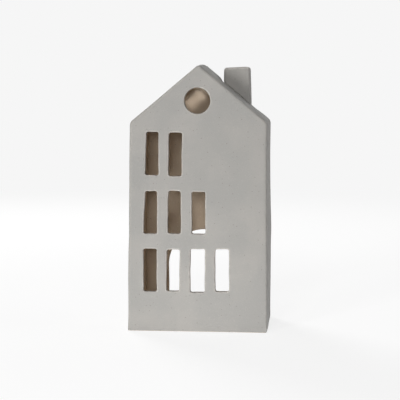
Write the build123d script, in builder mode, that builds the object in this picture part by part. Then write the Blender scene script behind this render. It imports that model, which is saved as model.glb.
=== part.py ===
"""Tealight house: a narrow stoneware townhouse, open at the back, with a tealight on its floor.

The house is built from clay slabs. The front and back gables close the ends, and two side
walls, two roof slopes and a floor lie between them, mitred along the eaves and the ridge. A
square chimney stands on the right slope, over a flue hole. Tall windows and one round window
are cut through the front, and an arch through the back lets the tealight in and out.

Units are millimetres. +Z is up, -Y is the front and the origin is the middle of the underside.
"""

import os
from math import atan2, cos, degrees, radians, sin, tan

from build123d import *

# House body, which draws in a little from its base to its eaves
house_width = 100.0
eave_width = 98.2
house_depth = 70.0
eave_height = 150.2
gable_rise = 41.4
wall_thickness = 5.0
roof_thickness = 5.0
floor_thickness = 5.0

# Rounding of the outer edges
base_radius = 2.0
eave_radius = 4.5
ridge_radius = 2.0
gable_edge_radius = 1.7

# Tall windows, counted from the left column and the bottom row
window_width = 9.6
window_corner_radius = 1.4
first_column_inset = 16.2
column_pitch = 17.3
sill_height = 28.8
row_gap = 11.05
eave_gap = 6.9
windows_per_row = (4, 3, 2)

# Knife work on each window in turn: shift across, shift up, extra width, extra height and lean
# of the left edge, as shares of the width or the height of a window
window_shares = (
    (-0.01, 0.0, 0.01, 0.0, 0.0),
    (-0.08, 0.0, -0.03, -0.03, 0.0),
    (-0.04, 0.0, 0.08, 0.02, 0.0),
    (0.0, 0.006, 0.03, -0.005, 0.0),
    (0.0, -0.005, -0.05, 0.0, 0.15),
    (-0.02, 0.003, -0.05, 0.0, 0.07),
    (-0.01, -0.005, 0.01, -0.02, 0.0),
    (0.10, 0.008, -0.04, 0.0, 0.10),
    (0.03, -0.008, -0.01, 0.005, 0.0),
)

# Round window in the front gable
round_window_radius = 9.25
round_window_shift = -0.65
round_window_below_ridge = 25.6

# Arch in the back wall
arch_width = 55.0
arch_height = 67.0

# Soft edge left by the sponge on every cut opening
lip_radius = 1.0

# Chimney, which stands towards the back and whose top is cut a little out of level
chimney_width = 19.0
chimney_depth = 17.0
chimney_rise = 19.0
chimney_x = 24.6
chimney_setback = 1.0
chimney_wall = 3.6
chimney_corner_radius = 1.8
chimney_rim_radius = 1.2
chimney_draft = 1.5
chimney_slant = 2.8

# Tealight cup, pressed from foil
cup_radius = 19.0
cup_height = 15.0
cup_foil = 0.3
cup_base_radius = 1.6
cup_rim_radius = 0.5

# Wax, its wick and the disc that holds the wick up
wax_height = 12.4
wax_clearance = 0.25
wax_edge_radius = 0.8
wick_radius = 0.8
wick_above_wax = 5.0
sustainer_radius = 6.2
sustainer_thickness = 0.3
neck_radius = 1.5
neck_height = 4.0
seat_clearance = 0.1

# Length by which a cut runs past the solid that it cuts
overrun = 2.0

# Sizes worked out from those above
half_width = house_width / 2
half_eave_width = eave_width / 2
half_depth = house_depth / 2
ridge_height = eave_height + gable_rise
wall_slope = (half_width - half_eave_width) / eave_height
roof_angle = atan2(gable_rise, half_eave_width)
roof_slope = tan(roof_angle)
inner_half_width = half_width - wall_thickness
inner_half_depth = half_depth - wall_thickness
inner_ridge_height = ridge_height - roof_thickness / cos(roof_angle)
inner_half_eave_width = (inner_half_width - wall_slope * inner_ridge_height) / (1 - wall_slope * roof_slope)
inner_eave_height = inner_ridge_height - inner_half_eave_width * roof_slope
floor_top_half_width = inner_half_width - wall_slope * floor_thickness
first_column_x = first_column_inset - half_width
row_pitch = (eave_height - sill_height - eave_gap + row_gap) / len(windows_per_row)
window_height = row_pitch - row_gap
first_row_z = sill_height + window_height / 2
round_window_z = ridge_height - round_window_below_ridge
arch_radius = arch_width / 2
arch_spring_height = arch_height - arch_radius
chimney_y = inner_half_depth - chimney_setback - chimney_depth / 2
chimney_top = ridge_height - chimney_x * roof_slope + chimney_rise
flue_width = chimney_width - 2 * chimney_wall
flue_depth = chimney_depth - 2 * chimney_wall
flue_corner_radius = chimney_corner_radius / 2
cup_floor_z = floor_thickness + cup_foil
cup_rim_z = floor_thickness + cup_height - cup_rim_radius
cup_rim_centre_radius = cup_radius - cup_foil + cup_rim_radius
wax_radius = cup_radius - cup_foil - wax_clearance
wick_foot_z = cup_floor_z + sustainer_thickness
wick_top_z = cup_floor_z + wax_height + wick_above_wax

# Planes that the sketches and the cuts lie on
front_plane = Plane.XZ.offset(half_depth)
front_joint_plane = Plane.XZ.offset(inner_half_depth)
back_joint_plane = Plane.XZ.offset(-inner_half_depth)
roof_plane = Plane(origin=(0, 0, ridge_height), z_dir=(sin(roof_angle), 0, cos(roof_angle)))
chimney_top_plane = Plane(
    origin=(chimney_x, chimney_y, chimney_top),
    z_dir=(-sin(radians(chimney_slant)), 0, cos(radians(chimney_slant))),
)


def export(builder, name):
    """Labels a finished piece and writes it as one STEP file."""
    builder.part.label = name
    export_step(builder.part, f"parts/{name}.step")


def gable_outline():
    """The outline that both gables and all slabs share, with its corners rounded."""
    with BuildSketch() as outline:
        with BuildLine():
            FilletPolyline(
                (-half_width, 0),
                (half_width, 0),
                (half_eave_width, eave_height),
                (0, ridge_height),
                (-half_eave_width, eave_height),
                radius=(base_radius, base_radius, eave_radius, ridge_radius, eave_radius),
                close=True,
            )
        make_face()
    return outline.sketch


def slab_section(corners):
    """The part of the gable outline that lies within the corners of one slab."""
    with BuildSketch() as section:
        with BuildLine():
            Polyline(*corners, close=True)
        make_face()
        add(gable_outline(), mode=Mode.INTERSECT)
    return section.sketch


def wall_section(side):
    """Upright wall on one side, -1 for the left and 1 for the right, mitred at the eave."""
    return slab_section(
        [
            (side * half_width, 0),
            (side * half_eave_width, eave_height),
            (side * inner_half_eave_width, inner_eave_height),
            (side * inner_half_width, 0),
        ]
    )


def roof_section(side):
    """Roof slope on one side, mitred at the eave and at the ridge."""
    return slab_section(
        [
            (side * half_eave_width, eave_height),
            (0, ridge_height),
            (0, inner_ridge_height),
            (side * inner_half_eave_width, inner_eave_height),
        ]
    )


def window_corners(column, row, shares):
    """Corners of one hand-cut window, from the lower left one round."""
    shift_across, shift_up, extra_width, extra_height, lean = shares
    middle_x = first_column_x + column * column_pitch + shift_across * window_width
    middle_z = first_row_z + row * row_pitch + shift_up * window_height
    half_cut_width = window_width * (1 + extra_width) / 2
    half_cut_height = window_height * (1 + extra_height) / 2
    half_lean = lean * window_width / 2
    return [
        (middle_x - half_cut_width - half_lean, middle_z - half_cut_height),
        (middle_x + half_cut_width, middle_z - half_cut_height),
        (middle_x + half_cut_width, middle_z + half_cut_height),
        (middle_x - half_cut_width + half_lean, middle_z + half_cut_height),
    ]


def window_outlines():
    """All the tall windows, row by row from the bottom."""
    places = [(column, row) for row, count in enumerate(windows_per_row) for column in range(count)]
    with BuildSketch() as outlines:
        for index, (column, row) in enumerate(places):
            shares = window_shares[index % len(window_shares)]
            with BuildLine():
                Polyline(*window_corners(column, row, shares), close=True)
            make_face()
        fillet(outlines.vertices(), window_corner_radius)
    return outlines.sketch


def opening_edges(face):
    """Edges of every opening in a flat face."""
    return ShapeList([edge for wire in face.inner_wires() for edge in wire.edges()])


def make_front_wall():
    """Front gable, with its windows."""
    with BuildPart() as front_wall:
        with BuildSketch(front_plane):
            add(gable_outline())
            add(window_outlines(), mode=Mode.SUBTRACT)
            with Locations((round_window_shift, round_window_z)):
                Circle(round_window_radius, mode=Mode.SUBTRACT)
        extrude(amount=-wall_thickness)
        outer_face = front_wall.faces().sort_by(Axis.Y)[0]
        fillet(outer_face.outer_wire().edges(), gable_edge_radius)
        outer_face = front_wall.faces().sort_by(Axis.Y)[0]
        fillet(opening_edges(outer_face), lip_radius)
        inner_face = front_wall.faces().sort_by(Axis.Y)[-1]
        fillet(opening_edges(inner_face), lip_radius)
    export(front_wall, "front_wall")


def make_back_wall():
    """Back gable, with the arch that the tealight goes in and out by."""
    with BuildPart() as back_wall:
        with BuildSketch(back_joint_plane):
            add(gable_outline())
            with BuildLine():
                Polyline(
                    (-arch_radius, arch_spring_height),
                    (-arch_radius, floor_thickness),
                    (arch_radius, floor_thickness),
                    (arch_radius, arch_spring_height),
                )
                ThreePointArc(
                    (arch_radius, arch_spring_height),
                    (0, arch_height),
                    (-arch_radius, arch_spring_height),
                )
            make_face(mode=Mode.SUBTRACT)
        extrude(amount=-wall_thickness)
        outer_face = back_wall.faces().sort_by(Axis.Y)[-1]
        fillet(outer_face.outer_wire().edges(), gable_edge_radius)
        outer_face = back_wall.faces().sort_by(Axis.Y)[-1]
        fillet(opening_edges(outer_face), lip_radius)
        inner_face = back_wall.faces().sort_by(Axis.Y)[0]
        above_sill = opening_edges(inner_face).sort_by(Axis.Z)[1:]
        fillet(above_sill, lip_radius)
    export(back_wall, "back_wall")


def make_side_walls():
    """Left and right walls, which stand between the gables."""
    for side, name in ((-1, "left_wall"), (1, "right_wall")):
        with BuildPart() as side_wall:
            with BuildSketch(front_joint_plane):
                add(wall_section(side))
            extrude(amount=-2 * inner_half_depth)
        export(side_wall, name)


def make_left_roof():
    """Left roof slope."""
    with BuildPart() as left_roof:
        with BuildSketch(front_joint_plane):
            add(roof_section(-1))
        extrude(amount=-2 * inner_half_depth)
    export(left_roof, "left_roof")


def make_right_roof():
    """Right roof slope, with the flue hole under the chimney."""
    with BuildPart() as right_roof:
        with BuildSketch(front_joint_plane):
            add(roof_section(1))
        extrude(amount=-2 * inner_half_depth)
        with BuildSketch(Plane.XY.offset(inner_eave_height)):
            with Locations((chimney_x, chimney_y)):
                RectangleRounded(flue_width, flue_depth, flue_corner_radius)
        extrude(amount=ridge_height - inner_eave_height, mode=Mode.SUBTRACT)
    export(right_roof, "right_roof")


def make_chimney():
    """Square chimney, open at the top, seated on the slope over the flue hole."""
    with BuildPart() as chimney:
        with BuildSketch(Plane.XY.offset(chimney_top + overrun)):
            with Locations((chimney_x, chimney_y)):
                RectangleRounded(chimney_width, chimney_depth, chimney_corner_radius)
        extrude(amount=eave_height - chimney_top, taper=-chimney_draft)
        with BuildSketch(Plane.XY.offset(chimney_top + overrun)):
            with Locations((chimney_x, chimney_y)):
                RectangleRounded(flue_width, flue_depth, flue_corner_radius)
        extrude(amount=eave_height - chimney_top - overrun, mode=Mode.SUBTRACT)
        split(bisect_by=roof_plane, keep=Keep.TOP)
        split(bisect_by=chimney_top_plane, keep=Keep.BOTTOM)
        fillet(chimney.faces().sort_by(Axis.Z)[-1].edges(), chimney_rim_radius)
    export(chimney, "chimney")


def make_floor_slab():
    """Floor between the walls, which the tealight stands on."""
    with BuildPart() as floor_slab:
        with BuildSketch(front_joint_plane):
            with BuildLine():
                Polyline(
                    (-inner_half_width, 0),
                    (inner_half_width, 0),
                    (floor_top_half_width, floor_thickness),
                    (-floor_top_half_width, floor_thickness),
                    close=True,
                )
            make_face()
        extrude(amount=-2 * inner_half_depth)
    export(floor_slab, "floor_slab")


def make_tealight_cup():
    """Foil cup with a rounded base and a rolled rim."""
    with BuildPart() as tealight_cup:
        with BuildSketch(Plane.XY.offset(floor_thickness)):
            Circle(cup_radius)
        extrude(amount=cup_height - cup_rim_radius)
        fillet(tealight_cup.edges().sort_by(Axis.Z)[0], cup_base_radius)
        offset(amount=-cup_foil, openings=tealight_cup.faces().sort_by(Axis.Z)[-1])
        with BuildSketch(Plane.XZ):
            with Locations((cup_rim_centre_radius, cup_rim_z)):
                Circle(cup_rim_radius)
        revolve(axis=Axis.Z)
    export(tealight_cup, "tealight_cup")


def make_tealight_wax():
    """Pressed wax, with a bore for the wick and a seat for its disc underneath."""
    with BuildPart() as tealight_wax:
        with BuildSketch(Plane.XY.offset(cup_floor_z)):
            Circle(wax_radius)
        extrude(amount=wax_height)
        fillet(tealight_wax.edges().sort_by(Axis.Z)[-1], wax_edge_radius)
        chamfer(tealight_wax.edges().sort_by(Axis.Z)[0], cup_base_radius)
        with BuildSketch(Plane.XY.offset(cup_floor_z)):
            Circle(sustainer_radius + seat_clearance)
        extrude(amount=sustainer_thickness + seat_clearance, mode=Mode.SUBTRACT)
        with BuildSketch(Plane.XY.offset(cup_floor_z)):
            Circle(neck_radius + seat_clearance)
        extrude(amount=neck_height + seat_clearance, mode=Mode.SUBTRACT)
        with BuildSketch(Plane.XY.offset(cup_floor_z)):
            Circle(wick_radius)
        extrude(amount=wax_height, mode=Mode.SUBTRACT)
    export(tealight_wax, "tealight_wax")


def make_wick_sustainer():
    """Tinned disc with a neck that grips the foot of the wick."""
    with BuildPart() as wick_sustainer:
        with BuildSketch(Plane.XY.offset(cup_floor_z)):
            Circle(sustainer_radius)
        extrude(amount=sustainer_thickness)
        with BuildSketch(Plane.XY.offset(cup_floor_z)):
            Circle(neck_radius)
        extrude(amount=neck_height)
        with BuildSketch(Plane.XY.offset(wick_foot_z)):
            Circle(wick_radius)
        extrude(amount=neck_height, mode=Mode.SUBTRACT)
    export(wick_sustainer, "wick_sustainer")


def make_tealight_wick():
    """Braided wick, from the disc up through the wax."""
    with BuildPart() as tealight_wick:
        with BuildSketch(Plane.XY.offset(wick_foot_z)):
            Circle(wick_radius)
        extrude(amount=wick_top_z - wick_foot_z)
    export(tealight_wick, "tealight_wick")


def main():
    """Builds and writes every piece."""
    os.makedirs("parts", exist_ok=True)
    make_front_wall()
    make_back_wall()
    make_side_walls()
    make_left_roof()
    make_right_roof()
    make_chimney()
    make_floor_slab()
    make_tealight_cup()
    make_tealight_wax()
    make_wick_sustainer()
    make_tealight_wick()
    print(f"roof pitch {degrees(roof_angle):.1f} degrees, inner ridge {inner_ridge_height:.1f} mm")


if __name__ == "__main__":
    main()
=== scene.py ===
"""Looks of the tealight house: clay slabs under a matt grey glaze, and the tealight on its floor.

Every ceramic slab is worked out afresh as a skin of grids, with the knife-cut windows, sponged
lips and rounded rims of a slab-built house. The whole house then follows one slow wave, so its
seams stay closed. Lengths are metres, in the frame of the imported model: +Z up, -Y the front.
"""

import logging
import math
from dataclasses import dataclass
from enum import Enum
from functools import cached_property

import bmesh
import bpy
import numpy as np
from mathutils import Matrix, Vector


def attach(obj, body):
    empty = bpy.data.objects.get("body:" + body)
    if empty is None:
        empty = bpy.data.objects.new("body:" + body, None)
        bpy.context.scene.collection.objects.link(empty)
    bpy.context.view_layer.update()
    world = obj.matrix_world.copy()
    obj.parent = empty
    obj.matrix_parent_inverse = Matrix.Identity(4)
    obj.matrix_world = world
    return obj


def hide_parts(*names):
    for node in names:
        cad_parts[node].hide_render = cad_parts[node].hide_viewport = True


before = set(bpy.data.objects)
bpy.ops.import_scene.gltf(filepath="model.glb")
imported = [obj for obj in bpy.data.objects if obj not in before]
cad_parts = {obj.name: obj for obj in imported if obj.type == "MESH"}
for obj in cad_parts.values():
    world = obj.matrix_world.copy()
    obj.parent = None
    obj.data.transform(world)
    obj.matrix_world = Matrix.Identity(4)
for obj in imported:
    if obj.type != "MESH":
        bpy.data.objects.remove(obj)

Array = np.ndarray
Colour = tuple[float, float, float]
Place = tuple[float, float, float]
Pair = tuple[float, float]
Socket = bpy.types.NodeSocket
Thing = bpy.types.Object

MM = 0.001
WELD = 2.0e-6
HAIR = 1.0e-6
PHASE_PER_METRE = 900.0

log = logging.getLogger("tealight_house")


class Gable(Enum):
    """The two ends of the house, by the sign of Y that they face."""

    FRONT = -1.0
    BACK = 1.0


class Hand(Enum):
    """The two long sides of the house, by the sign of X that they face."""

    LEFT = -1.0
    RIGHT = 1.0


class Body(Enum):
    """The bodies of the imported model."""

    HOUSE = "house"
    TEALIGHT = "tealight"


def ease(value: Array, start: float, length: float) -> Array:
    """Eases from 0 at the start to 1 a length on: three times the square less twice the cube."""
    share = np.clip((value - start) / length, 0.0, 1.0)
    return share * share * (3.0 - 2.0 * share)


def bell(value: Array, middle: float, reach: float) -> Array:
    """Bell curve of height 1 at its middle."""
    return np.exp(-((value - middle) / reach) ** 2)


def waves(first: Array, second: Array, *terms: tuple[float, float, float, float]) -> Array:
    """Sum of sines of two coordinates, each with its height, two lengths and a phase."""
    return sum(height * np.sin(first / one + second / two + phase) for height, one, two, phase in terms)


def mix(first: Array, second: Array, share: Array) -> Array:
    """Straight blend from the first to the second."""
    return (1.0 - share) * first + share * second


def pairs(first: Array | float, second: Array | float) -> Array:
    """Rows of two coordinates, where either may be one number for all."""
    return np.stack(np.broadcast_arrays(first, second), axis=-1)


def raised(plan: Array, z: Array) -> Array:
    """Points of a plan with their heights."""
    return np.concatenate([plan, z[..., None]], axis=-1)


def arc(start: float, stop: float, steps: int) -> tuple[Array, Array]:
    """Cosines and sines of evenly spaced angles, given in degrees."""
    angle = np.radians(np.linspace(start, stop, steps + 1))
    return np.cos(angle), np.sin(angle)


def stretches(marks: Array, counts: Array) -> list[Array]:
    """Evenly spaced values from each mark to the next, with both ends, in the given steps."""
    return [np.linspace(a, b, steps + 1) for a, b, steps in zip(marks, marks[1:], counts)]


def runs(marks: Array, counts: Array) -> Array:
    """All the stretches between some marks in one row, without the last mark."""
    return np.concatenate([stretch[:-1] for stretch in stretches(marks, counts)])


def handmade(points: Array) -> Array:
    """Moves points by the slow waves that rolling and handling leave in clay slabs.

    Formula, in millimetres: each coordinate gains two sines of the others, and the move up or
    down fades out towards the floor, so the foot stays flat. Bells and steps are laid over
    them: the lower third stands up to 0.7 further left, save at its right front corner, the
    right wall bows out by 0.95 low down and in by 0.5 high up towards its back, the ridge
    swells by 0.7 half way along, and the roof is dented on both sides of the chimney's foot and
    lifted at the eave.

    Args:
        points: Places in metres, one row each.

    Returns:
        The moved places.
    """
    x, y, z = points.T / MM
    across = waves(z, y, (0.16, 21.0, 60.0, 0.4), (0.06, 7.5, 19.0, 1.9))
    lean = 0.42 * (1.0 - ease(z, 56.0, 16.0)) + 0.28 * bell(z, 45.0, 20.0)
    across = across - lean * (1.0 - ease(x, 25.0, 20.0) * (1.0 - ease(y, -25.0, 50.0)))
    bow = 0.95 * bell(z, 55.0, 26.0) - 0.5 * bell(z, 126.0, 20.0)
    across = across + bow * ease(x, 0.0, 30.0) * ease(y, -35.0, 60.0)
    along = waves(x, z, (0.15, 17.0, 43.0, 0.9), (0.10, -29.0, 12.0, 2.2))
    up = ease(z, 6.0, 20.0) * waves(x, y, (0.15, 14.0, 33.0, 0.3), (0.07, 5.5, 11.0, 1.1))
    swell = 0.7 * bell(x, 0.0, 4.0) * (1.0 - ease(np.abs(y), 8.0, 26.0))
    dent = 1.8 * bell(x, 13.2, 1.5) + 0.6 * bell(x, 36.5, 3.5) - 0.35 * bell(x, 46.5, 4.0)
    up = up + swell * ease(z, 172.0, 12.0) - dent * ease(y, 2.0, 10.0) * ease(z, 148.0, 8.0)
    return points + MM * np.stack([across, along, up], axis=1)


class RoundedPath:
    """Closed outline of straight runs and arcs, walked anticlockwise.

    Points along it are called by a measure: the length walked, plus a little for each radian
    turned, so that evenly spaced measures crowd on the corners. Its marks are the measures of
    the middles of the corners, and of the first one again, a round further on.
    """

    arc_steps = 64

    def __init__(self, corners: list[Pair], radii: list[float] | float, bend: float = 4.0 * MM) -> None:
        """Lays out the path.

        Args:
            corners: Sharp corners in order.
            radii: Radius of the arc in each corner, or one for all.
            bend: Length that the measure gains for each radian turned.
        """
        corners = np.array(corners)
        radii = np.broadcast_to(radii, len(corners))
        coming = corners - np.roll(corners, 1, axis=0)
        coming = coming / np.linalg.norm(coming, axis=1, keepdims=True)
        going = np.roll(coming, -1, axis=0)
        turn = np.arccos(np.clip(np.sum(coming * going, axis=1), -1.0, 1.0))
        inward = going - coming
        inward = inward / np.linalg.norm(inward, axis=1, keepdims=True)
        centres = corners + inward * (radii / np.cos(turn / 2.0))[:, None]
        angle = turn[:, None] * np.linspace(0.0, 1.0, self.arc_steps + 1)
        across = np.stack([coming[:, 1], -coming[:, 0]], axis=1)
        normals = across[:, None] * np.cos(angle)[..., None] + coming[:, None] * np.sin(angle)[..., None]
        points = centres[:, None] + normals * radii[:, None, None]
        self.points = np.concatenate([points.reshape(-1, 2), points[0, :1]])
        self.normals = np.concatenate([normals.reshape(-1, 2), normals[0, :1]])
        steps = np.linalg.norm(np.diff(self.points, axis=0), axis=1)
        steps = steps + bend * np.linalg.norm(np.diff(self.normals, axis=0), axis=1)
        self.measure = np.concatenate([[0.0], np.cumsum(steps)])
        self.total = float(self.measure[-1])
        middles = self.arc_steps // 2 + (self.arc_steps + 1) * np.arange(len(corners))
        self.marks = np.append(self.measure[middles], self.measure[middles[0]] + self.total)
        self.middles = np.append(middles, len(self.points) - 1)

    def find(self, axis: int, value: Array | float, corner: int) -> Array:
        """Measures at which a coordinate reaches some values, on the way to the next corner.

        Args:
            axis: 0 for the first coordinate, 1 for the second.
            value: The values sought.
            corner: Corner that the search starts from.

        Returns:
            The measures there.
        """
        rows = slice(self.middles[corner], self.middles[corner + 1] + 1)
        run = self.points[rows, axis]
        order = np.argsort(run, kind="stable")
        return np.interp(value, run[order], self.measure[rows][order])

    def at(self, measure: Array) -> tuple[Array, Array]:
        """Points and outward normals at some measures.

        Args:
            measure: The measures, which may run past the end and round again.

        Returns:
            Points and normals, one row each.
        """
        place = np.mod(measure, self.total)
        columns = np.concatenate([self.points, self.normals], axis=1).T
        found = np.stack([np.interp(place, self.measure, column) for column in columns], axis=1)
        points, normals = found[:, :2], found[:, 2:]
        return points, normals / np.linalg.norm(normals, axis=1, keepdims=True)


def coons(bottom: Array, top: Array, left: Array, right: Array) -> Array:
    """Fills four borders with a grid.

    Formula: the blend between bottom and top, plus the blend between left and right, less the
    blend between the four corners.

    Args:
        bottom: Border from left to right.
        top: Border from left to right.
        left: Border from bottom to top.
        right: Border from bottom to top.

    Returns:
        Grid of points, row by row from the bottom.
    """
    u = np.linspace(0.0, 1.0, len(bottom))[None, :, None]
    v = np.linspace(0.0, 1.0, len(left))[:, None, None]
    corners = mix(mix(bottom[0], bottom[-1], u), mix(top[0], top[-1], u), v)
    return mix(bottom, top, v) + mix(left[:, None], right[:, None], u) - corners


def ruled(first: Array, last: Array, steps: int) -> Array:
    """Grid of straight lines from one row of points to another."""
    return mix(first, last, np.linspace(0.0, 1.0, steps + 1)[:, None, None])


def closed(grid: Array) -> Array:
    """Grid whose first column comes again at its end."""
    return np.concatenate([grid, grid[:, :1]], axis=1)


def revolve(profile: Array, steps: int) -> Array:
    """Carries a profile round the Z axis.

    Args:
        profile: Radius and height, one row each.
        steps: Facets round the axis.

    Returns:
        Grid of points, closed round the axis.
    """
    angle = np.linspace(0.0, 2.0 * np.pi, steps + 1)
    x = profile[:, :1] * np.cos(angle)
    y = profile[:, :1] * np.sin(angle)
    return np.stack(np.broadcast_arrays(x, y, profile[:, 1:]), axis=-1)


class Skin:
    """Collects grids of points, and welds them into one closed mesh."""

    def __init__(self) -> None:
        """Starts an empty skin."""
        self.points: list[Array] = []
        self.quads: list[Array] = []
        self.marks: list[Array] = []
        self.count = 0

    def add(self, grid: Array, glaze: float | Array = 1.0, edge: float | Array = 0.0,
            keep: Array | None = None) -> None:
        """Adds one grid.

        Args:
            grid: Points, as rows by columns by three.
            glaze: How far the glaze covers each point, 0 for bare clay and 1 for full.
            edge: How far each point lies on a rounded edge, where the glaze runs thin and its lighter tone is
                also a painted highlight.
            keep: Which quads are kept, all of them by default.
        """
        shape = grid.shape[:2]
        index = self.count + np.arange(shape[0] * shape[1]).reshape(shape)
        quads = np.stack([index[:-1, :-1], index[1:, :-1], index[1:, 1:], index[:-1, 1:]], axis=-1)
        self.quads.append(quads[keep] if keep is not None else quads.reshape(-1, 4))
        self.points.append(grid.reshape(-1, 3))
        marks = [np.broadcast_to(mark, shape).ravel() for mark in (glaze, edge)]
        self.marks.append(np.stack(marks, axis=1))
        self.count += index.size

    def shared_marks(self, points: Array) -> Array:
        """Evens out the marks, so that points that fall together share their largest.

        Args:
            points: All points, one row each.

        Returns:
            Glaze and edge mark of every point.
        """
        _, group = np.unique(np.round(points / WELD).astype(np.int64), axis=0, return_inverse=True)
        group = group.reshape(-1)
        largest = np.zeros((int(group.max()) + 1, 2))
        np.maximum.at(largest, group, np.concatenate(self.marks))
        return largest[group]

    def piece(self, name: str, sharp_angle: float = 38.0, wavy: bool = True) -> Thing:
        """Welds the grids, turns every face outwards and makes the object.

        Args:
            name: Name of the object.
            sharp_angle: Angle in degrees past which an edge is shaded sharp.
            wavy: Whether it is clay: it then follows the house's slow wave, and is bare underneath.

        Returns:
            The new object, at the origin.
        """
        points = np.concatenate(self.points)
        marks = self.shared_marks(points)
        if wavy:
            marks[:, 0] = marks[:, 0] * ease(points[:, 2], 0.05 * MM, 0.2 * MM)
            points = handmade(points)
        mesh = bpy.data.meshes.new(name)
        mesh.from_pydata(points, [], np.concatenate(self.quads))
        for column, label in enumerate(("glaze", "edge")):
            layer = mesh.attributes.new(label, "FLOAT", "POINT")
            layer.data.foreach_set("value", marks[:, column].astype(np.float32))
        work = bmesh.new()
        work.from_mesh(mesh)
        bmesh.ops.remove_doubles(work, verts=work.verts, dist=WELD)
        bmesh.ops.recalc_face_normals(work, faces=work.faces)
        open_edges = sum(1 for edge in work.edges if len(edge.link_faces) != 2)
        work.to_mesh(mesh)
        work.free()
        mesh.shade_smooth()
        mesh.set_sharp_from_angle(angle=math.radians(sharp_angle))
        thing = bpy.data.objects.new(name, mesh)
        bpy.context.scene.collection.objects.link(thing)
        log.info("%s: %d faces, %d open edges", name, len(mesh.polygons), open_edges)
        return thing


def lone_piece(name: str, grid: Array, sharp_angle: float) -> Thing:
    """Makes a piece of the tealight from one grid.

    Args:
        name: Name of the object.
        grid: The grid.
        sharp_angle: Angle in degrees past which an edge is shaded sharp.

    Returns:
        The new object.
    """
    skin = Skin()
    skin.add(grid)
    return skin.piece(name, sharp_angle, wavy=False)


def dress(thing: Thing, material: bpy.types.Material, body: Body, slot: str, *nodes: str) -> None:
    """Gives a piece its finish and its body, and hides the nodes that it stands for.

    Args:
        thing: The piece.
        material: Its finish.
        body: The body that it rides on.
        slot: Not used.
        nodes: The nodes that it replaces.
    """
    thing.data.materials.append(material)
    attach(thing, body.value)
    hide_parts(*nodes)


@dataclass(frozen=True)
class HouseShape:
    """Sizes that the slabs of the house share."""

    width: float = 100.0 * MM
    eave_width: float = 98.2 * MM
    depth: float = 70.0 * MM
    eave_height: float = 150.2 * MM
    gable_rise: float = 41.4 * MM
    slab: float = 5.0 * MM
    base_radius: float = 0.9 * MM
    eave_radius: float = 4.5 * MM
    ridge_radius: float = 2.4 * MM
    rim_radius: float = 2.0 * MM
    foot_rim_radius: float = 0.2 * MM
    foot_rim_height: float = 9.0 * MM
    lip_radius: float = 1.0 * MM

    @property
    def ridge_height(self) -> float:
        """Height of the sharp ridge."""
        return self.eave_height + self.gable_rise

    @property
    def roof_slope(self) -> float:
        """Drop of the roof for each unit across."""
        return self.gable_rise / (self.eave_width / 2.0)

    @property
    def wall_slope(self) -> float:
        """Draw-in of a side wall for each unit up."""
        return (self.width - self.eave_width) / 2.0 / self.eave_height

    @property
    def inner_half_depth(self) -> float:
        """Distance from the middle to the inner face of a gable."""
        return self.depth / 2.0 - self.slab

    @property
    def inner_half_width(self) -> float:
        """Half of the room's width at the very bottom."""
        return self.width / 2.0 - self.slab

    @property
    def inner_ridge_height(self) -> float:
        """Height of the ridge seen from the room."""
        return self.ridge_height - self.slab * math.hypot(1.0, self.roof_slope)

    @property
    def inner_eave(self) -> Pair:
        """Inner edge at the eaves.

        Returns:
            X and Z where the inner face of a wall meets that of a slope.
        """
        reach = self.inner_half_width - self.wall_slope * self.inner_ridge_height
        x = reach / (1.0 - self.wall_slope * self.roof_slope)
        return x, self.inner_ridge_height - x * self.roof_slope

    @cached_property
    def path(self) -> RoundedPath:
        """Outline of the gables.

        Returns:
            The outline, from the lower left corner round.
        """
        half, eave, height = self.width / 2.0, self.eave_width / 2.0, self.eave_height
        corners = [(-half, 0.0), (half, 0.0), (eave, height), (0.0, self.ridge_height), (-eave, height)]
        radii = [self.base_radius, self.base_radius, self.eave_radius, self.ridge_radius, self.eave_radius]
        return RoundedPath(corners, radii)

    def roof_height(self, x: Array) -> Array:
        """Height of the right slope's outer plane."""
        return self.ridge_height - x * self.roof_slope

    def rim_share(self, points: Array) -> Array:
        """Share of the rim's radius at points of the gable: little at the foot, and all higher up."""
        share = ease(points[:, 1:], 0.0, self.foot_rim_height)
        return mix(self.foot_rim_radius / self.rim_radius, 1.0, share)

    def border(self, measure: Array, offset: float) -> Array:
        """Points at some measures of the outline, moved out by an offset times the rim's share."""
        points, normals = self.path.at(measure)
        return points + normals * offset * self.rim_share(points)


@dataclass(frozen=True)
class CutWindow:
    """One tall window, cut by knife: its place in the plan, and how the knife strayed there.

    The shares are parts of the plan's width, save for those of height and of the move up, which
    are parts of its height.
    """

    column: int
    row: int
    across_share: float
    up_share: float
    width_share: float
    height_share: float
    lean_share: float


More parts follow.
